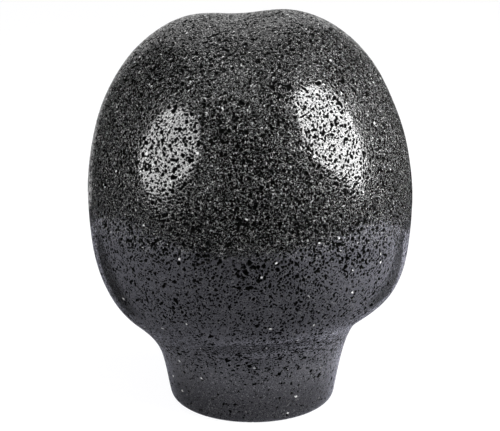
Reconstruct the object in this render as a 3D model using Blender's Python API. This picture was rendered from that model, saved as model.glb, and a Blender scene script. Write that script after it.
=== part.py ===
"""Hand stone (tejolote) of a molcajete: one piece of carved and polished vesicular basalt.

It stands on its narrow foot with the broad, rounded grinding head up. A single outline is
turned about the Z axis, and the traces of hand carving are then put in: a head that leans a
little off the foot's axis, a neck that sits lower on one side than on the other, and a
shallow hollow over the crown.

Units are metres. +Z is up, and the origin is the middle of the flat foot.
"""
import math

import bmesh
import bpy
from mathutils import Vector

# Foot: a short tapered stub that widens upwards into the neck.
FOOT_RADIUS = 0.0207
FOOT_EDGE_RADIUS = 0.0022
FOOT_TAPER = math.radians(12.5)

# Neck: the middle of the hollow curve between foot and head.
NECK_RADIUS = 0.0298
NECK_HEIGHT = 0.0237
NECK_SLOPE = math.radians(41.7)
NECK_REACH_DOWN = 0.0102
FOOT_REACH_UP = 0.0087

# Head: its widest ring, and the crown above it.
HEAD_RADIUS = 0.0401
HEAD_HEIGHT = 0.0533
HEAD_REACH_DOWN = 0.0240
NECK_REACH_UP = 0.0050
CROWN_HEIGHT = 0.0997
CROWN_FLATNESS = 2.75
SHOULDER_FULLNESS = 1.93

# Traces of carving by hand.
LEAN_AT_NECK = -0.0001
LEAN_AT_HEAD = -0.0006
LEAN_AT_CROWN = -0.0015
NECK_TILT = 0.0017
NECK_TILT_HEIGHT = 0.0218
NECK_TILT_SPREAD = 0.0085
CROWN_TILT = 0.023
HOLLOW_DEPTH = 0.0024
HOLLOW_HALF_WIDTH = 0.0095
HOLLOW_OFFSET = -0.0011
HOLLOW_START = 0.0717
HOLLOW_FULL = 0.0966
UNTOUCHED_FOOT = 0.0040

# Fineness of the mesh.
SECTORS = 84
EDGE_STEPS = 4
FOOT_STEPS = 9
SIDE_STEPS = 12
CROWN_STEPS = 18

BASALT_COLOUR = (0.030, 0.030, 0.033, 1.0)
BASALT_ROUGHNESS = 0.32


def ease(value, start, end):
    """Rise smoothly from 0 at start to 1 at end."""
    t = min(max((value - start) / (end - start), 0.0), 1.0)
    return t * t * (3.0 - 2.0 * t)


def bump(value, middle, spread):
    """A bell curve: 1 at the middle, fading over the spread."""
    return math.exp(-(((value - middle) / spread) ** 2))


def bezier(start, start_handle, end_handle, end, steps):
    """The points of a cubic curve, without its first one."""
    points = []
    for i in range(1, steps + 1):
        t = i / steps
        u = 1.0 - t
        points.append(
            u**3 * start + 3.0 * u * u * t * start_handle + 3.0 * u * t * t * end_handle + t**3 * end
        )
    return points


def outline():
    """The turned outline as (radius, height) points, from the foot's edge to the crown."""
    points = []
    edge_centre = Vector((FOOT_RADIUS - FOOT_EDGE_RADIUS, FOOT_EDGE_RADIUS))
    first_angle = -math.pi / 2.0
    for i in range(EDGE_STEPS + 1):
        angle = first_angle + (i / EDGE_STEPS) * (-FOOT_TAPER - first_angle)
        points.append(edge_centre + FOOT_EDGE_RADIUS * Vector((math.cos(angle), math.sin(angle))))
    foot_top = points[-1]
    neck = Vector((NECK_RADIUS, NECK_HEIGHT))
    head = Vector((HEAD_RADIUS, HEAD_HEIGHT))
    up_the_foot = Vector((math.sin(FOOT_TAPER), math.cos(FOOT_TAPER)))
    up_the_neck = Vector((math.cos(NECK_SLOPE), math.sin(NECK_SLOPE)))
    points += bezier(
        foot_top,
        foot_top + FOOT_REACH_UP * up_the_foot,
        neck - NECK_REACH_DOWN * up_the_neck,
        neck,
        FOOT_STEPS,
    )
    points += bezier(
        neck,
        neck + NECK_REACH_UP * up_the_neck,
        head - Vector((0.0, HEAD_REACH_DOWN)),
        head,
        SIDE_STEPS,
    )
    for i in range(1, CROWN_STEPS):
        angle = (i / CROWN_STEPS) * math.pi / 2.0
        radius = HEAD_RADIUS * math.cos(angle) ** (2.0 / CROWN_FLATNESS)
        rise = (CROWN_HEIGHT - HEAD_HEIGHT) * math.sin(angle) ** (2.0 / SHOULDER_FULLNESS)
        points.append(Vector((radius, HEAD_HEIGHT + rise)))
    return points


def carved(x, y, z):
    """Move a point of the turned shape to where the carver left it."""
    lean = LEAN_AT_NECK * ease(z, UNTOUCHED_FOOT, NECK_HEIGHT)
    lean += (LEAN_AT_HEAD - LEAN_AT_NECK) * ease(z, NECK_HEIGHT, HEAD_HEIGHT)
    lean += (LEAN_AT_CROWN - LEAN_AT_HEAD) * ease(z, HEAD_HEIGHT, CROWN_HEIGHT)
    above_foot = ease(z, UNTOUCHED_FOOT, 3.0 * UNTOUCHED_FOOT)
    neck_shift = NECK_TILT * (x / NECK_RADIUS) * bump(z, NECK_TILT_HEIGHT, NECK_TILT_SPREAD)
    crown_share = ease(z, HOLLOW_START, HOLLOW_FULL)
    hollow = HOLLOW_DEPTH * bump(x, HOLLOW_OFFSET, HOLLOW_HALF_WIDTH)
    height = z + above_foot * neck_shift + crown_share * (CROWN_TILT * x - hollow)
    return (x + lean, y, height)


def turn_ring(bm, radius, height):
    """One closed ring of vertices of the carved shape."""
    ring = []
    for i in range(SECTORS):
        angle = 2.0 * math.pi * i / SECTORS
        ring.append(bm.verts.new(carved(radius * math.cos(angle), radius * math.sin(angle), height)))
    return ring


def bridge(bm, lower, upper):
    """The band of faces between two rings, facing outwards."""
    for i in range(SECTORS):
        j = (i + 1) % SECTORS
        bm.faces.new((lower[i], lower[j], upper[j], upper[i]))


def basalt():
    material = bpy.data.materials.new("basalt")
    material.use_nodes = True
    shader = material.node_tree.nodes["Principled BSDF"]
    shader.inputs["Base Color"].default_value = BASALT_COLOUR
    shader.inputs["Roughness"].default_value = BASALT_ROUGHNESS
    shader.inputs["Metallic"].default_value = 0.0
    return material


def hand_stone():
    """The whole stone: flat foot, neck, head and crown in one closed skin."""
    bm = bmesh.new()
    rings = [turn_ring(bm, point.x, point.y) for point in outline()]
    bm.faces.new(list(reversed(rings[0])))
    for lower, upper in zip(rings, rings[1:]):
        bridge(bm, lower, upper)
    pole = bm.verts.new(carved(0.0, 0.0, CROWN_HEIGHT))
    last = rings[-1]
    for i in range(SECTORS):
        bm.faces.new((last[i], last[(i + 1) % SECTORS], pole))
    mesh = bpy.data.meshes.new("hand_stone")
    bm.to_mesh(mesh)
    bm.free()
    mesh.materials.append(basalt())
    mesh.shade_smooth()
    mesh.set_sharp_from_angle(angle=math.radians(35.0))
    stone = bpy.data.objects.new("hand_stone", mesh)
    bpy.context.scene.collection.objects.link(stone)
    return stone


for old in list(bpy.data.objects):
    bpy.data.objects.remove(old)
hand_stone()
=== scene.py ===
"""Looks of the hand stone: polished vesicular basalt on a pale table in soft studio light.

The stone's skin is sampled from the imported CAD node, so its shape and size come from the frame.
It is laid out as fine rings, dressed with the slight unevenness of hand work, and then opened by
thousands of gas bubbles that the polished surface cuts through.

Lengths are in metres, except in the finish, which works in millimetres. +Z is up, and the viewer
stands on the side of -Y.
"""
import math

import bpy
import numpy as np
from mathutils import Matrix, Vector
from mathutils.bvhtree import BVHTree
from mathutils.kdtree import KDTree


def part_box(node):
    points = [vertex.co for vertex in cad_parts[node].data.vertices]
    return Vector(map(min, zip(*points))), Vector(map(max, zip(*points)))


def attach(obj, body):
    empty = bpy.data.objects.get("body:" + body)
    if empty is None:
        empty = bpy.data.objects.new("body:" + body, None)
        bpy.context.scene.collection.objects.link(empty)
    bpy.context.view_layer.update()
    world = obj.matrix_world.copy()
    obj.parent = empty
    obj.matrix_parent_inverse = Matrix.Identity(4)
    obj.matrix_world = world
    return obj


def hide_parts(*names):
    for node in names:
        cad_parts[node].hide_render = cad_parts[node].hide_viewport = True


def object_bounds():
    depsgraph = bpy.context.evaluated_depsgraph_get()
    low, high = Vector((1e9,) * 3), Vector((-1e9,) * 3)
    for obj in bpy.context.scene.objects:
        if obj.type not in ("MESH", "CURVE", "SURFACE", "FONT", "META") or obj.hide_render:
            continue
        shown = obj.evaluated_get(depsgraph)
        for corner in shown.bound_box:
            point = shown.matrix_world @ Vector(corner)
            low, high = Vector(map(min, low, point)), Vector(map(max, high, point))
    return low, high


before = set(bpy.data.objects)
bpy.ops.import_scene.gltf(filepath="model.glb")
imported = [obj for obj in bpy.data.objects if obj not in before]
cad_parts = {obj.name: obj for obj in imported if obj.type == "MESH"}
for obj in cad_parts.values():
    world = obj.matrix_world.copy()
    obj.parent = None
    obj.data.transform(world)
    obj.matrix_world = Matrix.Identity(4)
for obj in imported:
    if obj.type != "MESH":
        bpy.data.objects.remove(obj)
cad_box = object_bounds()

NODE = "hand_stone"
MM = 0.001
SEED = 7

# Probing the CAD surface from two points on the axis, given as shares of its height.
FOOT_EYE = 0.05
WAIST = 0.55
PROBE_SECTORS = 168
PROBES_PER_FAN = 500

# Skin: how smoothly and how finely it covers the stone. Probed rows below FLAT_SOLE are the sole,
# and the blur is lighter near its edge, over EDGE_BLUR_SPAN.
ROW_STEP = 0.14 * MM
WIDEST_CELL = 0.235 * MM
MOST_SECTORS = 1536
FEWEST_SECTORS = 12
HARMONICS = 12
ROW_BLUR = 1.2 * MM
EDGE_BLUR = 0.35 * MM
EDGE_BLUR_SPAN = (3.0 * MM, 9.0 * MM)
BLUR_CUT_OFF = 4
FLAT_SOLE = 0.02 * MM

# Hand work: slow waves left by dressing, and fine ones left by polishing. The sole has none. In any
# random field, the lengths of the waves lie between the shares WAVE_SPREAD of the given length.
WAVE_SPREAD = (0.75, 1.35)
WAVES_IN_A_FIELD = 18
DRESSING_WAVE = 17.0 * MM
DRESSING_DEPTH = 0.06 * MM
POLISH_WAVE = 2.6 * MM
POLISH_DEPTH = 0.004 * MM
WAVES_IN_POLISH = 30
ABOVE_SOLE = 6.0 * MM

# Gas bubbles that the surface cuts. They crowd in places and at the neck, and thin out at the foot.
# Their radii go by SIZE_BELOW on the lower part, and SIZE_GAIN more on the upper part.
BUBBLES_PER_MM2 = 7.6
BUBBLE_RADIUS = 0.155 * MM
BUBBLE_SPREAD = 0.40
SMALLEST_BUBBLE = 0.12 * MM
LARGEST_BUBBLE = 0.55 * MM
SIZE_BELOW = 0.92
SIZE_GAIN = 0.26
SIZE_SPAN = (38.0 * MM, 54.0 * MM)
CROWDING = 0.20
CROWDING_WAVE = 14.0 * MM
CROWDING_LIMITS = (0.3, 2.0)
CALM_FOOT = 0.20
CALM_FOOT_SPAN = (8.0 * MM, 20.0 * MM)
NECK = 21.0 * MM
NECK_REACH = 6.0 * MM
NECK_CROWDING = 0.5
WALL_BETWEEN = 0.95
MERGED_SHARE = 0.04

# Shape of the bubbles: how far their middles are sunk, in radii, and how they are drawn out. The
# neck draws them out round the axis.
SUNK = (-0.6, 0.75)
STRETCH = 0.9
NECK_STRETCH = 0.4
NECK_PULL = 1.6

# The pores that they leave: ragged edges, and normals that turn LIP_TILT of the way to the wall.
RAGGED_WAVE = 0.7 * MM
RAGGED_DEPTH = 0.07 * MM
DEEPEST_PORE = 0.8 * MM
SOFTENED_EDGE = 0.18
LIP_TILT = 0.42
LIP_DEPTH = 0.06 * MM

# Finish, in millimetres: open pores, which show from a depth of PORE_LIP and are full at PORE_WALL,
# and dimples, which are pin-holes too fine for the skin. Both are made black and dull: partly their
# unpolished inside, partly painted shade. Noise runs from 0 to 1.
NOISE_MIDDLE = 0.5
PORE_LIP = 0.06
PORE_WALL = 0.16
PORE_TONE_AND_SHADE = 0.001
PORE_ROUGHNESS = 0.8
PORE_GLOSS = 0.02
FRAYS_PER_MM = 1.9
FRAY = 0.30
DIMPLES_PER_MM = 2.2
DIMPLE_SIZES = (0.1, 1.1)
DIMPLE_REACH = (0.02, 0.52)
DIMPLE_EDGE = (0.6, 1.0)

# Finish: the polished face, which is less glossy at the foot. Its neck is painted paler: painted
# light, which fades into the foot.
MOTTLES_PER_MM = 0.9
MOTTLE_DETAIL = 4.0
MOTTLE_SPAN = (0.3, 0.7)
GROUND_TONES = (0.0005, 0.002)
PAINTED_NECK_LIGHT = 0.034
PAINTED_NECK_LIGHT_TINT = 1.1
PAINTED_NECK_LIGHT_TOP = (18.0, 28.0)
FOOT_SPAN = (4.0, 16.0)
FOOT_SHARE_OF_NECK_LIGHT = 0.12
POLISHED = (0.05, 0.08)
GLOSS = 0.5
FOOT_GLOSS = 0.38

# Finish: pale feldspar laths, partly the stone's grain and partly painted glints, mostly on the
# upper part. Their painted light fades over two spans of height: a short one at a plane that is a
# little higher at the front, and a long one above it.
LATHS_PER_MM = 2.2
LATH_WIDTH = 0.045
LATH_AND_GLINT_TONE = 0.44
LATH_PATCHES_PER_MM = 1.6
PATCH_SPAN = (0.35, 0.65)
FAINTEST_PATCH = 0.25
PAINTED_LIGHT_PLANE_SLOPE = 0.08
PAINTED_LIGHT_PLANE = (46.0, 50.5)
LATHS_BELOW_PAINTED_LIGHT = 0.30
PAINTED_LIGHT_RISE = (48.0, 66.0)
LATHS_AT_PAINTED_LIGHT_PLANE = 0.72

# Finish: single pale grains.
GRAINS_PER_MM = 0.33
GRAIN_SIZE = (0.07, 0.15)
GRAINLESS_SHARE = 0.6
GRAIN_TONE = 0.45

# Table: half its width, its tone as it lights the stone, and how the viewer sees it.
FAR = 4.0
TABLE_TONE = 0.22
SEEN_TONE = 0.10
SEEN_GLOW = (0.92, 0.92, 0.93, 1.0)

# Table, as the stone mirrors it: an oval pool of painted light, with the stone's two shadows
# painted in it. Edges are counted from the middle of the oval, with its outline at 1. SHADOWS holds
# how much of the light is gone in the painted shadow on the left (-1) and on the right (1).
POOL_MIDDLE = (0.005, -0.020)
POOL_HALF = (0.205, 0.143)
POOL_TURN = -5.0
POOL_EDGE = (0.985, 1.015)
TABLE_TINT = (1.0, 1.0, 1.17)
# Painted light of the pool: its middle, its brighter left and right, and the dark beyond it.
PAINTED_LIGHT_MIDDLE = 0.37
PAINTED_LIGHT_LEFT = 0.55
PAINTED_LIGHT_RIGHT = 0.65
PAINTED_DARK_BEYOND = 0.004
LEFT_SPAN = (-0.02, -0.15)
RIGHT_SPAN = (0.02, 0.13)
SHADOW_MIDDLE = (0.088, 0.044)
SHADOW_HALF = (0.060, 0.018)
SHADOW_TURN = 53.0
SHADOW_EDGE = (0.75, 1.15)
SHADOWS = {-1: 0.95, 1: 0.85}

# Bright strip of wall that only reflections show, as a rim on the stone's left edge.
WALL_LEFT = -0.110
WALL_RIGHT = 0.060
WALL_BACK = 0.135
WALL_HEIGHT = 0.3
WALL_RADIANCE = 0.9

# Room: how bright its parts are, and the span of directions over which each of them comes in, where
# 1 is straight up for the ceiling, straight back for the backdrop and straight right for the side.
ROOM = 0.016
CEILING = 0.95
CEILING_SPAN = (0.62, 0.92)
BACKDROP = 0.8
BACKDROP_SPAN = (0.82, 0.95)
BESIDE = 0.24
BESIDE_SPAN = (0.65, 0.95)

# Softboxes: both face the point on the stone's axis that is AIM_HEIGHT up. Their sizes are in
# studio_softboxes.
SOFTBOX_AWAY = 0.35
SOFTBOX_CORNERS = 32
AIM_HEIGHT = 0.07

# Camera: a long lens, a little above the stone.
CAMERA_ELEVATION = 19.5
CAMERA_AWAY = 0.70
CAMERA_LENS = 202.9
CAMERA_SENSOR = 36.0
CAMERA_NEAR = 0.01
AIM_BELOW_MIDDLE = 1.7 * MM


def smooth_step(value, start, end):
    t = np.clip((value - start) / (end - start), 0.0, 1.0)
    return t * t * (3.0 - 2.0 * t)


# ---------------------------------------------------------------- the skin, sampled from the CAD


def probe_fans(low, high):
    """The rays that one section is probed with, as (height on the axis, angle above level).

    A fan from inside the foot covers the sole and its edge, level rays climb to the waist of the
    head, and a fan from the waist covers the crown.
    """
    foot_eye = low + FOOT_EYE * (high - low)
    waist = low + WAIST * (high - low)
    down_angles = np.linspace(-math.pi / 2, 0.0, 2 * PROBES_PER_FAN, endpoint=False)
    level_heights = np.linspace(foot_eye, waist, PROBES_PER_FAN, endpoint=False)
    up_angles = np.linspace(0.0, math.pi / 2, PROBES_PER_FAN)
    down = [(foot_eye, angle) for angle in down_angles]
    level = [(height, 0.0) for height in level_heights]
    up = [(waist, angle) for angle in up_angles]
    return down + level + up


def probe_sections(cad_node):
    """Points on the CAD surface: one row per probe, one column per section round the axis."""
    mesh = cad_node.data
    tree = BVHTree.FromPolygons([v.co for v in mesh.vertices], [p.vertices for p in mesh.polygons])
    low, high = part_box(NODE)
    fans = probe_fans(low[2], high[2])
    points = np.empty((len(fans), PROBE_SECTORS, 3))
    for j in range(PROBE_SECTORS):
        azimuth = 2.0 * math.pi * j / PROBE_SECTORS
        across, along = math.cos(azimuth), math.sin(azimuth)
        for i, (height, angle) in enumerate(fans):
            level = math.cos(angle)
            ray = Vector((across * level, along * level, math.sin(angle)))
            points[i, j] = tree.ray_cast(Vector((0.0, 0.0, height)), ray)[0]
    return points


def even_rows(points):
    """The probed sections again, with their rows ROW_STEP apart along the surface."""
    steps = np.linalg.norm(np.diff(points, axis=0), axis=2).mean(axis=1)
    travelled = np.concatenate([[0.0], np.cumsum(steps)])
    count = int(round(travelled[-1] / ROW_STEP)) + 1
    wanted = np.linspace(0.0, travelled[-1], count)
    position = np.interp(wanted, travelled, np.arange(len(travelled)))
    before = np.minimum(position.astype(int), len(points) - 2)
    share = (position - before)[:, None, None]
    return points[before] * (1.0 - share) + points[before + 1] * share


def past_the_poles(rows, extra):
    """The rows with their continuation over both poles, which is the opposite section."""
    opposite = np.roll(rows, PROBE_SECTORS // 2, axis=1)
    return np.concatenate([opposite[extra:0:-1], rows, opposite[-2 : -extra - 2 : -1]])


def blur_rows(rows):
    """Take out the CAD facets along each section, with a lighter touch at the sole's edge."""
    extra = int(BLUR_CUT_OFF * ROW_BLUR / ROW_STEP)
    padded = past_the_poles(rows, extra)
    radius = np.linalg.norm(rows[:, :, :2], axis=2).mean(axis=1)
    height = rows[:, :, 2].mean(axis=1)
    sole_radius = radius[height < FLAT_SOLE].max()
    from_edge = np.hypot(radius - sole_radius, height)
    reach = EDGE_BLUR + (ROW_BLUR - EDGE_BLUR) * smooth_step(from_edge, *EDGE_BLUR_SPAN)
    index = np.arange(len(rows))[:, None] + extra
    other = np.arange(len(padded))[None, :]
    weight = np.exp(-0.5 * ((other - index) * ROW_STEP / reach[:, None]) ** 2)
    weight /= weight.sum(axis=1, keepdims=True)
    return np.tensordot(weight, padded, axes=(1, 0))


def round_spectrum(rows):
    """Each row as its first few harmonics round the axis, which leaves the facets out."""
    spectrum = np.fft.rfft(rows, axis=1) / PROBE_SECTORS
    return spectrum[:, : HARMONICS + 1]


def from_spectrum(spectrum, sectors):
    """One row's points from its harmonics, at this many sectors round the axis."""
    full = np.zeros((sectors // 2 + 1, spectrum.shape[-1]), complex)
    kept = min(len(spectrum), len(full))
    full[:kept] = spectrum[:kept]
    return np.fft.irfft(full, n=sectors, axis=0) * sectors


def skin_rows(cad_node):
    """Smooth rows of points and outward normals, as spectra round the axis."""
    spectrum = round_spectrum(blur_rows(even_rows(probe_sections(cad_node))))
    rows = np.stack([from_spectrum(row, PROBE_SECTORS) for row in spectrum])
    round_step = np.roll(rows, -1, axis=1) - np.roll(rows, 1, axis=1)
    padded = past_the_poles(rows, 1)
    up_step = padded[2:] - padded[:-2]
    normal = np.cross(round_step, up_step)
    length = np.linalg.norm(normal, axis=2, keepdims=True)
    normal /= np.maximum(length, 1e-12)
    normal[0] = (0.0, 0.0, -1.0)
    normal[-1] = (0.0, 0.0, 1.0)
    return spectrum, round_spectrum(normal)


def sectors_for(radius):
    """How many cells a ring has: the fewest, doubled until they are narrow enough."""
    sectors = FEWEST_SECTORS
    while sectors < MOST_SECTORS and 2.0 * math.pi * radius / sectors > WIDEST_CELL:
        sectors *= 2
    return sectors


class Skin:
    """The stone's vertices, normals, cell areas and faces."""

    def __init__(self, cad_node):
        spectrum, normal_spectrum = skin_rows(cad_node)
        points, normals, areas = [], [], []
        self.starts, self.counts = [], []
        start = 0
        last = len(spectrum) - 1
        for i in range(last + 1):
            if i in (0, last):
                sectors = 1
                ring = spectrum[i][0].real[None]
                ring_normal = normal_spectrum[i][0].real[None]
            else:
                # The first harmonic of x and y holds the ring's radius.
                radius = 2.0 * np.linalg.norm(spectrum[i][1, :2]) / math.sqrt(2.0)
                sectors = sectors_for(radius)
                ring = from_spectrum(spectrum[i], sectors)
                ring_normal = from_spectrum(normal_spectrum[i], sectors)
            girth = np.linalg.norm(ring - np.roll(ring, 1, axis=0), axis=1).sum()
            points.append(ring)
            normals.append(ring_normal)
            areas.append(np.full(sectors, max(girth, ROW_STEP) * ROW_STEP / sectors))
            self.starts.append(start)
            self.counts.append(sectors)
            start += sectors
        self.points = np.concatenate(points)
        self.normals = np.concatenate(normals)
        self.normals /= np.linalg.norm(self.normals, axis=1, keepdims=True)
        self.areas = np.concatenate(areas)

    def faces(self):
        """Quads between equal rows, and triangles where the number of sectors changes."""
        quads, triangles = [], []
        for i in range(len(self.starts) - 1):
            low, high = self.starts[i], self.starts[i + 1]
            below, above = self.counts[i], self.counts[i + 1]
            a = np.arange(max(below, above))
            b = (a + 1) % len(a)
            if below == above:
                quads.append(np.stack([low + a, low + b, high + b, high + a], axis=1))
            elif below == 1:
                triangles.append(np.stack([np.full(above, low), high + b, high + a], axis=1))
            elif above == 1:
                triangles.append(np.stack([low + a, low + b, np.full(below, high)], axis=1))
            else:
                triangles.append(fan_between(low, below, high, above))
        return np.concatenate(quads), np.concatenate(triangles)


def fan_between(low, below, high, above):
    """Triangles between a row and its neighbour with half or twice as many sectors."""
    few_start, few, many_start = (low, below, high) if below < above else (high, above, low)
    many = 2 * few
    a = np.arange(few)
    b = (a + 1) % few
    left = many_start + 2 * a
    middle = left + 1
    right = many_start + (2 * a + 2) % many
    sets = [
        (few_start + a, middle, left),
        (few_start + a, few_start + b, middle),
        (few_start + b, right, middle),
    ]
    if below > above:
        sets = [(p, r, q) for p, q, r in sets]
    return np.concatenate([np.stack(s, axis=1) for s in sets])


# ---------------------------------------------------------------- hand work and gas bubbles


def random_waves(points, wavelength, rng, count=WAVES_IN_A_FIELD):
    """A smooth random field of unit strength: waves of about one length, in all directions."""
    field = np.zeros(len(points))
    for _ in range(count):
        direction = rng.normal(size=3)
        length = wavelength * rng.uniform(*WAVE_SPREAD)
        direction *= 2.0 * math.pi / length / np.linalg.norm(direction)
        field += np.cos(points @ direction + rng.uniform(0.0, 2.0 * math.pi))
    return field * math.sqrt(2.0 / count)


def dress(skin, rng):
    """Move the skin by the waves that dressing and polishing leave. The sole stays flat."""
    above_sole = smooth_step(skin.points[:, 2], 0.0, ABOVE_SOLE)
    dressing = DRESSING_DEPTH * random_waves(skin.points, DRESSING_WAVE, rng)
    polish = POLISH_DEPTH * random_waves(skin.points, POLISH_WAVE, rng, WAVES_IN_POLISH)
    skin.points += ((dressing + polish) * above_sole)[:, None] * skin.normals


def search_tree(points):
    """A tree that finds the points near a place."""
    tree = KDTree(len(points))
    for i, point in enumerate(points.tolist()):
        tree.insert(point, i)
    tree.balance()
    return tree


def spaced(centres, radius, rng):
    """Which bubbles stay when neighbours keep a wall between them. A few are let off, to merge."""
    tree = search_tree(centres)
    merging = rng.random(len(centres)) < MERGED_SHARE
    kept = np.ones(len(centres), bool)
    for k, centre in enumerate(centres.tolist()):
        if kept[k] and not merging[k]:
            for _, other, gap in tree.find_range(centre, 2.0 * WALL_BETWEEN * radius[k]):
                closest = WALL_BETWEEN * (radius[k] + radius[other])
                if other > k and not merging[other] and gap < closest:
                    kept[other] = False
    return np.flatnonzero(kept)


def scatter_bubbles(skin, torn, rng):
    """Bubbles on the torn skin, largest first, as (vertex that each sits under, radius)."""
    height = skin.points[:, 2]
    crowding = 1.0 + CROWDING * random_waves(skin.points, CROWDING_WAVE, rng)
    calm_foot = CALM_FOOT + (1.0 - CALM_FOOT) * smooth_step(height, *CALM_FOOT_SPAN)
    chance = skin.areas * np.clip(crowding, *CROWDING_LIMITS) * calm_foot
    chance *= 1.0 + NECK_CROWDING * nearness_to_neck(height)
    total = int(BUBBLES_PER_MM2 * skin.areas.sum() / MM**2)
    chosen = rng.choice(len(height), size=total, replace=False, p=chance / chance.sum())
    size = SIZE_BELOW + SIZE_GAIN * smooth_step(height[chosen], *SIZE_SPAN)
    radius = size * BUBBLE_RADIUS * np.exp(BUBBLE_SPREAD * rng.normal(size=total))
    radius = np.clip(radius, SMALLEST_BUBBLE, LARGEST_BUBBLE)
    order = np.argsort(-radius)
    kept = order[spaced(torn[chosen[order]], radius[order], rng)]
    return chosen[kept], radius[kept]


def nearness_to_neck(height):
    """1 at the height of the neck, and fading to 0 above and below it."""
    return np.exp(-(((height - NECK) / NECK_REACH) ** 2))


def shape_bubbles(normals, at_neck, radius, rng):
    """How far each bubble is sunk, how far it is drawn out, and the direction of that."""
    total = len(radius)
    sunk = rng.uniform(*SUNK, size=total) * radius
    stretch = 1.0 + STRETCH * rng.uniform(0.0, 1.0, size=total) ** 3 + NECK_STRETCH * at_neck
    around = np.cross(normals, (0.0, 0.0, 1.0))
    either_way = np.where(rng.random((total, 1)) < 0.5, -1.0, 1.0)
    grain = np.cross(normals, rng.normal(size=(total, 3)))
    grain += NECK_PULL * at_neck[:, None] * around * either_way
    grain /= np.linalg.norm(grain, axis=1, keepdims=True)
    return sunk, stretch, grain


def points_near(torn, centres, reach):
    """All pairs of a point and a bubble within reach of it, as (points, bubbles)."""
    tree = search_tree(torn)
    points, bubbles = [], []
    for k, centre in enumerate(centres.tolist()):
        near = [index for _, index, _ in tree.find_range(centre, reach[k])]
        points += near
        bubbles += [k] * len(near)
    return np.array(points), np.array(bubbles)


def cut_bubbles(skin, rng):
    """How deep each point lies inside an opened bubble, measured down from the polished face.

    The bubbles are cut out of a skin whose points are first shaken a little, so that their edges
    come out ragged.
    """
    ragged = np.stack([random_waves(skin.points, RAGGED_WAVE, rng) for _ in range(3)], axis=1)
    torn = skin.points + RAGGED_DEPTH * ragged
    chosen, radius = scatter_bubbles(skin, torn, rng)
    normals = skin.normals[chosen]
    at_neck = nearness_to_neck(skin.points[chosen, 2])
    sunk, stretch, grain = shape_bubbles(normals, at_neck, radius, rng)
    centres = torn[chosen] - sunk[:, None] * normals
    p, k = points_near(torn, centres, radius * stretch)

    # Squeezed back along its grain, each bubble is a ball again.
    offset = torn[p] - centres[k]
    along = (offset * grain[k]).sum(axis=1)
    offset -= ((1.0 - 1.0 / stretch[k]) * along)[:, None] * grain[k]
    inside = (offset**2).sum(axis=1) < radius[k] ** 2
    p, k, offset = p[inside], k[inside], offset[inside]

    # From the face straight down to the far side of the ball.
    rise = (offset * skin.normals[p]).sum(axis=1)
    across = (offset**2).sum(axis=1) - rise**2
    down = rise + np.sqrt(np.maximum(radius[k] ** 2 - across, 0.0))
    depth = np.zeros(len(torn))
    np.maximum.at(depth, p, down)
    return np.clip(depth, 0.0, DEEPEST_PORE)


def relaxed(values, edges, share):
    """Values drawn a little towards the mean of their neighbours."""
    total = np.zeros_like(values)
    count = np.zeros_like(values)
    for a, b in ((0, 1), (1, 0)):
        np.add.at(total, edges[:, a], values[edges[:, b]])
        np.add.at(count, edges[:, a], 1.0)
    return (1.0 - share) * values + share * total / count


# ---------------------------------------------------------------- the stone's mesh


def skin_mesh(skin):
    """A mesh with the skin's faces. Its points are still to be placed, by vertex_normals."""
    quads, triangles = skin.faces()
    mesh = bpy.data.meshes.new("stone_skin")
    mesh.vertices.add(len(skin.points))
    loops = np.concatenate([quads.ravel(), triangles.ravel()])
    mesh.loops.add(len(loops))
    mesh.loops.foreach_set("vertex_index", loops.astype(np.int32))
    sizes = np.concatenate([np.full(len(quads), 4), np.full(len(triangles), 3)])
    mesh.polygons.add(len(sizes))
    mesh.polygons.foreach_set("loop_start", (np.cumsum(sizes) - sizes).astype(np.int32))
    mesh.update(calc_edges=True)
    return mesh


def vertex_normals(mesh, points):
    """Moves the mesh to these points, and gives its smooth normals there."""
    mesh.vertices.foreach_set("co", points.astype(np.float32).ravel())
    mesh.update()
    normals = np.empty(3 * len(points), np.float32)
    mesh.vertex_normals.foreach_get("vector", normals)
    return normals.reshape(-1, 3)


def edge_ends(mesh):
    ends = np.empty(2 * len(mesh.edges), np.int32)
    mesh.edges.foreach_get("vertices", ends)
    return ends.reshape(-1, 2)


def write_attribute(mesh, name, values):
    layer = mesh.attributes.new(name, "FLOAT", "POINT")
    layer.data.foreach_set("value", values.astype(np.float32))


def build_stone():
    """The stone, with its pores cut in.

    The polished face keeps its uncut normals up to each lip, so that it mirrors cleanly. The
    finish finds the depth of the cut, in millimetres, in the attribute "pore".
    """
    rng = np.random.default_rng(SEED)
    skin = Skin(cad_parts[NODE])
    dress(skin, rng)
    depth = cut_bubbles(skin, rng)
    mesh = skin_mesh(skin)
    uncut = vertex_normals(mesh, skin.points)
    depth = relaxed(depth, edge_ends(mesh), SOFTENED_EDGE)
    carved = vertex_normals(mesh, skin.points - depth[:, None] * skin.normals)
    tilt = LIP_TILT * smooth_step(depth, 0.0, LIP_DEPTH)[:, None]
    mesh.shade_smooth()
    mesh.normals_split_custom_set_from_vertices(uncut * (1.0 - tilt) + carved * tilt)
    write_attribute(mesh, "pore", depth / MM)
    mesh.materials.append(basalt())
    stone = bpy.data.objects.new("stone", mesh)
    bpy.context.scene.collection.objects.link(stone)
    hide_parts(NODE)
    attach(stone, "root")


# ---------------------------------------------------------------- shader nodes


def node(tree, kind, inputs, **settings):
    """A new shader node. Its inputs are numbers, colours or the sockets that feed them."""
    made = tree.nodes.new("ShaderNode" + kind)
    for name, value in settings.items():
        setattr(made, name, value)
    for name, value in inputs.items():
        if isinstance(value, bpy.types.NodeSocket):
            tree.links.new(value, made.inputs[name])
        else:
            made.inputs[name].default_value = value
    return made


def ramp(tree, value, start, end, low=0.0, high=1.0):
    """The value taken from the span start..end to low..high, with soft ends."""
    spans = {"Value": value, "From Min": start, "From Max": end, "To Min": low, "To Max": high}
    return node(tree, "MapRange", spans, interpolation_type="SMOOTHSTEP").outputs["Result"]


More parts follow.
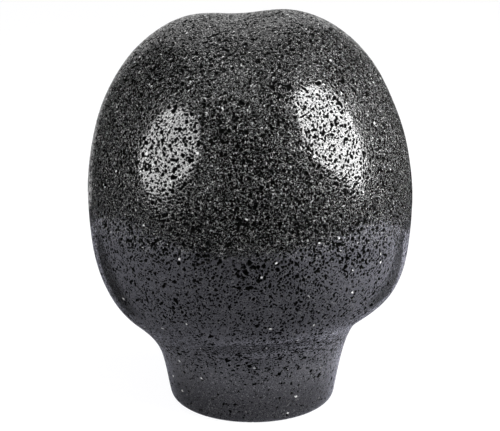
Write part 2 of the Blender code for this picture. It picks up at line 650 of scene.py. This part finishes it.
def combine(tree, operation, a, b):
    """Two numbers put together by a math node."""
    return node(tree, "Math", {0: a, 1: b}, operation=operation).outputs[0]


def product(tree, a, b):
    return combine(tree, "MULTIPLY", a, b)


def blend(tree, share, a, b):
    """Colour a, with this share of colour b."""
    return node(tree, "Mix", {0: share, 6: a, 7: b}, data_type="RGBA").outputs[2]


def between(tree, share, a, b):
    """Number a, with this share of number b."""
    return node(tree, "Mix", {0: share, 2: a, 3: b}).outputs[0]


def grey(value, blue=1.0):
    return (value, value, value * blue, 1.0)


def noise(tree, place, per_mm, detail=2.0):
    """A node of soft random patches. More detail adds finer ones."""
    inputs = {"Vector": place, "Scale": per_mm, "Detail": detail, "Roughness": 0.5}
    return node(tree, "TexNoise", inputs)


def cells(tree, place, per_mm):
    """Random cells, as (distance from a cell's middle, two random numbers of the cell)."""
    made = node(tree, "TexVoronoi", {"Vector": place, "Scale": per_mm})
    numbers = node(tree, "SeparateColor", {"Color": made.outputs["Color"]}).outputs
    return made.outputs["Distance"], numbers[0], numbers[1]


# ---------------------------------------------------------------- finish of the stone


def frayed(tree, place):
    """The place, shifted a little at random, so that cells come out with uneven edges."""
    shift = noise(tree, place, FRAYS_PER_MM).outputs["Color"]
    inputs = {0: shift, 1: (NOISE_MIDDLE, NOISE_MIDDLE, NOISE_MIDDLE)}
    offset = node(tree, "VectorMath", inputs, operation="SUBTRACT").outputs[0]
    inputs = {0: offset, 1: (FRAY, FRAY, FRAY), 2: place}
    return node(tree, "VectorMath", inputs, operation="MULTIPLY_ADD").outputs[0]


def pore_and_painted_shade_share(tree, uneven):
    """1 inside a cut bubble or a pin-hole, which are painted as shade, and 0 on the polished face.
    """
    depth = node(tree, "Attribute", {}, attribute_name="pore").outputs["Fac"]
    bubble = ramp(tree, depth, PORE_LIP, PORE_WALL)
    distance, size, _ = cells(tree, uneven, DIMPLES_PER_MM)
    reach = ramp(tree, size, *DIMPLE_SIZES, *DIMPLE_REACH)
    out = combine(tree, "DIVIDE", distance, reach)
    pin_hole = ramp(tree, out, *DIMPLE_EDGE, 1.0, 0.0)
    return combine(tree, "MAXIMUM", bubble, pin_hole)


def ground_with_painted_neck_light(tree, up, mottle):
    """Mottled near-black, with a neck painted paler by painted light, which fades into the foot."""
    dark, light = (grey(tone) for tone in GROUND_TONES)
    ground = blend(tree, mottle, dark, light)
    # Painted light: the neck is made paler, and less so towards the foot.
    below_head = ramp(tree, up, *PAINTED_NECK_LIGHT_TOP, 1.0, 0.0)
    above_foot = ramp(tree, up, *FOOT_SPAN, FOOT_SHARE_OF_NECK_LIGHT, 1.0)
    return blend(tree, product(tree, below_head, above_foot), ground, grey(PAINTED_NECK_LIGHT, PAINTED_NECK_LIGHT_TINT))


def lath_and_glint_share(tree, place, up, back):
    """1 on the pale laths, partly grain and partly painted glints: thin crooked lines, in patches,
    and mostly on the upper part, where painted light keeps them strong.
    """
    wander = noise(tree, place, LATHS_PER_MM, 0.0).outputs["Fac"]
    off_line = combine(tree, "SUBTRACT", wander, NOISE_MIDDLE)
    off_line = combine(tree, "ABSOLUTE", off_line, 0.0)
    lath = ramp(tree, off_line, 0.0, LATH_WIDTH, 1.0, 0.0)
    patch = noise(tree, place, LATH_PATCHES_PER_MM, 1.0).outputs["Fac"]
    patch = ramp(tree, patch, *PATCH_SPAN, FAINTEST_PATCH, 1.0)
    # Painted light: below a plane a little higher at the front, the laths fade.
    level = combine(tree, "ADD", up, product(tree, back, PAINTED_LIGHT_PLANE_SLOPE))
    painted_light = ramp(tree, level, *PAINTED_LIGHT_PLANE, LATHS_BELOW_PAINTED_LIGHT, 1.0)
    painted_light = product(tree, painted_light, ramp(tree, level, *PAINTED_LIGHT_RISE, LATHS_AT_PAINTED_LIGHT_PLANE, 1.0))
    return product(tree, lath, product(tree, patch, painted_light))


def grain_share(tree, uneven):
    """1 on the pale grains. Most cells have none."""
    distance, _, chance = cells(tree, uneven, GRAINS_PER_MM)
    grain = ramp(tree, distance, *GRAIN_SIZE, 1.0, 0.0)
    return product(tree, grain, combine(tree, "GREATER_THAN", chance, GRAINLESS_SHARE))


def basalt():
    """Polished basalt: near-black face with pale laths and grains, and dull black pores.

    The laths are partly painted glints, the neck is painted paler as painted light, and the black
    of the pores is partly painted shade.
    """
    material = bpy.data.materials.new("polished_basalt")
    material.use_nodes = True
    tree = material.node_tree
    shader = tree.nodes["Principled BSDF"]
    metres = node(tree, "TexCoord", {}).outputs["Object"]
    to_millimetres = {0: metres, "Scale": 1.0 / MM}
    place = node(tree, "VectorMath", to_millimetres, operation="SCALE").outputs[0]
    parts = node(tree, "SeparateXYZ", {0: place})
    up, back = parts.outputs["Z"], parts.outputs["Y"]
    uneven = frayed(tree, place)
    pore = pore_and_painted_shade_share(tree, uneven)
    mottle = noise(tree, place, MOTTLES_PER_MM, MOTTLE_DETAIL).outputs["Fac"]
    mottle = ramp(tree, mottle, *MOTTLE_SPAN)

    colour = ground_with_painted_neck_light(tree, up, mottle)
    # The laths are partly painted glints.
    colour = blend(tree, lath_and_glint_share(tree, place, up, back), colour, grey(LATH_AND_GLINT_TONE))
    colour = blend(tree, grain_share(tree, uneven), colour, grey(GRAIN_TONE))
    # Painted shade, on top of the dull finish: the pores are made black.
    colour = blend(tree, pore, colour, grey(PORE_TONE_AND_SHADE))
    roughness = between(tree, pore, between(tree, mottle, *POLISHED), PORE_ROUGHNESS)
    gloss = between(tree, pore, ramp(tree, up, *FOOT_SPAN, FOOT_GLOSS, GLOSS), PORE_GLOSS)
    tree.links.new(colour, shader.inputs["Base Color"])
    tree.links.new(roughness, shader.inputs["Roughness"])
    tree.links.new(gloss, shader.inputs["Specular IOR Level"])
    return material


# ---------------------------------------------------------------- studio


def bare_material(name):
    """A material with no nodes yet, as (material, its node tree)."""
    material = bpy.data.materials.new(name)
    material.use_nodes = True
    material.node_tree.nodes.clear()
    return material, material.node_tree


def card(name, corners, material):
    """A flat polygon of the studio, which isn't a piece of the part."""
    mesh = bpy.data.meshes.new(name)
    mesh.from_pydata(corners, [], [tuple(range(len(corners)))])
    mesh.materials.append(material)
    obj = bpy.data.objects.new(name, mesh)
    bpy.context.scene.collection.objects.link(obj)
    return obj


def glow(name, radiance):
    """Light that leaves only the front of a card."""
    material, tree = bare_material(name)
    backfacing = node(tree, "NewGeometry", {}).outputs["Backfacing"]
    front = combine(tree, "SUBTRACT", 1.0, backfacing)
    light = node(tree, "Emission", {"Strength": product(tree, front, radiance)}).outputs[0]
    node(tree, "OutputMaterial", {"Surface": light})
    return material


def far_out(tree, spot, middle, half_size, turn):
    """How far out a spot on the table lies: 0 in the middle of an oval, 1 on its edge."""
    frame_of_oval = {
        "Vector": spot,
        "Location": (*middle, 0.0),
        "Rotation": (0.0, 0.0, math.radians(turn)),
        "Scale": (*half_size, 1.0),
    }
    inside = node(tree, "Mapping", frame_of_oval, vector_type="TEXTURE").outputs[0]
    return node(tree, "VectorMath", {0: inside}, operation="LENGTH").outputs["Value"]


def tinted(tone):
    """A level of painted light on the table, with its faint blue."""
    red, green, blue = TABLE_TINT
    return (tone * red, tone * green, tone * blue, 1.0)


def painted_table_light(tree):
    """Painted light and shade that the stone mirrors.

    A pool of light, brighter to both sides, with the stone's shadows.
    """
    spot = node(tree, "TexCoord", {}).outputs["Object"]
    aside = node(tree, "SeparateXYZ", {0: spot}).outputs["X"]
    # Painted light: the pool is brighter to the left and right.
    tone = blend(tree, ramp(tree, aside, *RIGHT_SPAN), tinted(PAINTED_LIGHT_MIDDLE), tinted(PAINTED_LIGHT_RIGHT))
    tone = blend(tree, ramp(tree, aside, *LEFT_SPAN), tone, tinted(PAINTED_LIGHT_LEFT))
    # Painted shadows of the stone, one on each side.
    for side, share in SHADOWS.items():
        middle = (SHADOW_MIDDLE[0] * side, SHADOW_MIDDLE[1])
        out = far_out(tree, spot, middle, SHADOW_HALF, SHADOW_TURN * side)
        tone = blend(tree, ramp(tree, out, *SHADOW_EDGE, share, 0.0), tone, grey(0.0))
    out = far_out(tree, spot, POOL_MIDDLE, POOL_HALF, POOL_TURN)
    return blend(tree, ramp(tree, out, *POOL_EDGE), tone, grey(PAINTED_DARK_BEYOND))


def table_finish():
    """Pale table. The viewer sees it evenly lit and almost white, with only a breath of shadow."""
    material, tree = bare_material("pale_table")
    real = node(tree, "BsdfDiffuse", {"Color": grey(TABLE_TONE)}).outputs[0]
    # Glossy rays see this painted light and these painted shadows instead of the table's real tone.
    mirrored = node(tree, "BsdfDiffuse", {"Color": painted_table_light(tree)}).outputs[0]
    faint = node(tree, "BsdfDiffuse", {"Color": grey(SEEN_TONE)}).outputs[0]
    lit = node(tree, "Emission", {"Color": SEEN_GLOW, "Strength": 1.0}).outputs[0]
    seen = node(tree, "AddShader", {0: faint, 1: lit}).outputs[0]
    ray = node(tree, "LightPath", {}).outputs
    surface = node(tree, "MixShader", {0: ray["Is Glossy Ray"], 1: real, 2: mirrored}).outputs[0]
    surface = node(tree, "MixShader", {0: ray["Is Camera Ray"], 1: surface, 2: seen}).outputs[0]
    node(tree, "OutputMaterial", {"Surface": surface})
    return material


def studio_floor():
    corners = [(-FAR, -FAR, 0.0), (FAR, -FAR, 0.0), (FAR, FAR, 0.0), (-FAR, FAR, 0.0)]
    card("floor", corners, table_finish())


def studio_wall():
    """The bright strip behind the stone, which only its reflections show."""
    corners = [
        (WALL_LEFT, WALL_BACK, 0.0),
        (WALL_RIGHT, WALL_BACK, 0.0),
        (WALL_RIGHT, WALL_BACK, WALL_HEIGHT),
        (WALL_LEFT, WALL_BACK, WALL_HEIGHT),
    ]
    wall = card("back_wall", corners, glow("back_wall_glow", WALL_RADIANCE))
    wall.visible_camera = False
    wall.visible_diffuse = False
    wall.visible_shadow = False


def rounded(cosine, squareness):
    """A cosine or sine, pushed out so that the circle nears a square. 2 keeps the circle."""
    return math.copysign(abs(cosine) ** (2.0 / squareness), cosine)


def softbox(name, azimuth, elevation, middle, half_size, lean, slope, flare, squareness, radiance):
    """A glowing card with rounded corners that faces the stone from SOFTBOX_AWAY.

    Azimuth 0 is towards the viewer, and + is to the right. The card's middle is moved sideways and
    up in its own plane. Its sides lean, its top and bottom slope, and it flares out downwards.
    """
    a, e = math.radians(azimuth), math.radians(elevation)
    out = Vector((math.sin(a) * math.cos(e), -math.cos(a) * math.cos(e), math.sin(e)))
    side = Vector((0.0, 0.0, 1.0)).cross(out).normalized()
    up = out.cross(side)
    centre = Vector((0.0, 0.0, AIM_HEIGHT)) + SOFTBOX_AWAY * out
    half_width, half_height = half_size
    corners = []
    for i in range(SOFTBOX_CORNERS):
        turn = -2.0 * math.pi * i / SOFTBOX_CORNERS
        across = rounded(math.cos(turn), squareness)
        along = rounded(math.sin(turn), squareness)
        width = half_width * across * (1.0 - flare * along)
        offset = middle[0] + width + lean * half_height * along
        height = middle[1] + half_height * along + slope * half_width * across
        corners.append(centre + offset * side + height * up)
    box = card(name, corners, glow(name + "_glow", radiance))
    box.visible_camera = False


def studio_softboxes():
    """The two softboxes, one for each highlight on the head."""
    softbox(
        "softbox_left",
        azimuth=-62.0,
        elevation=15.0,
        middle=(0.016, 0.012),
        half_size=(0.129, 0.142),
        lean=0.20,
        slope=0.05,
        flare=0.0,
        squareness=2.2,
        radiance=10.0,
    )
    softbox(
        "softbox_right",
        azimuth=70.0,
        elevation=30.0,
        middle=(-0.018, -0.022),
        half_size=(0.142, 0.185),
        lean=-0.10,
        slope=-0.36,
        flare=0.2,
        squareness=3.2,
        radiance=18.0,
    )


def studio_world():
    """A dark room with a bright ceiling and backdrop, and a grey right side.

    Only the stone and the table are lit by it. The viewer sees plain white.
    """
    world = bpy.data.worlds.new("studio")
    bpy.context.scene.world = world
    world.use_nodes = True
    tree = world.node_tree
    tree.nodes.clear()
    way = node(tree, "TexCoord", {}).outputs["Generated"]
    parts = node(tree, "SeparateXYZ", {0: way}).outputs
    overhead = ramp(tree, parts["Z"], *CEILING_SPAN, 0.0, CEILING)
    behind = ramp(tree, parts["Y"], *BACKDROP_SPAN, 0.0, BACKDROP)
    beside = ramp(tree, parts["X"], *BESIDE_SPAN, 0.0, BESIDE)
    bright = combine(tree, "MAXIMUM", combine(tree, "MAXIMUM", overhead, behind), beside)
    room = node(tree, "Background", {"Strength": combine(tree, "ADD", ROOM, bright)}).outputs[0]
    seen = node(tree, "Background", {"Color": grey(1.0), "Strength": 1.0}).outputs[0]
    to_camera = node(tree, "LightPath", {}).outputs["Is Camera Ray"]
    either = node(tree, "MixShader", {0: to_camera, 1: room, 2: seen}).outputs[0]
    node(tree, "OutputWorld", {"Surface": either})


def studio_camera():
    """The photo's view, from the front and a little from above."""
    low, high = (Vector(corner) for corner in cad_box)
    target = (low + high) / 2.0 - Vector((0.0, 0.0, AIM_BELOW_MIDDLE))
    elevation = math.radians(CAMERA_ELEVATION)
    back = Vector((0.0, -math.cos(elevation), math.sin(elevation)))
    camera_data = bpy.data.cameras.new("camera")
    camera_data.lens = CAMERA_LENS
    camera_data.sensor_width = CAMERA_SENSOR
    camera_data.clip_start = CAMERA_NEAR
    camera = bpy.data.objects.new("camera", camera_data)
    camera.location = target + CAMERA_AWAY * back
    camera.rotation_euler = back.to_track_quat("Z", "Y").to_euler()
    bpy.context.scene.collection.objects.link(camera)
    bpy.context.scene.camera = camera


build_stone()
studio_floor()
studio_wall()
studio_softboxes()
studio_world()
studio_camera()
bpy.context.scene.view_settings.view_transform = "Standard"
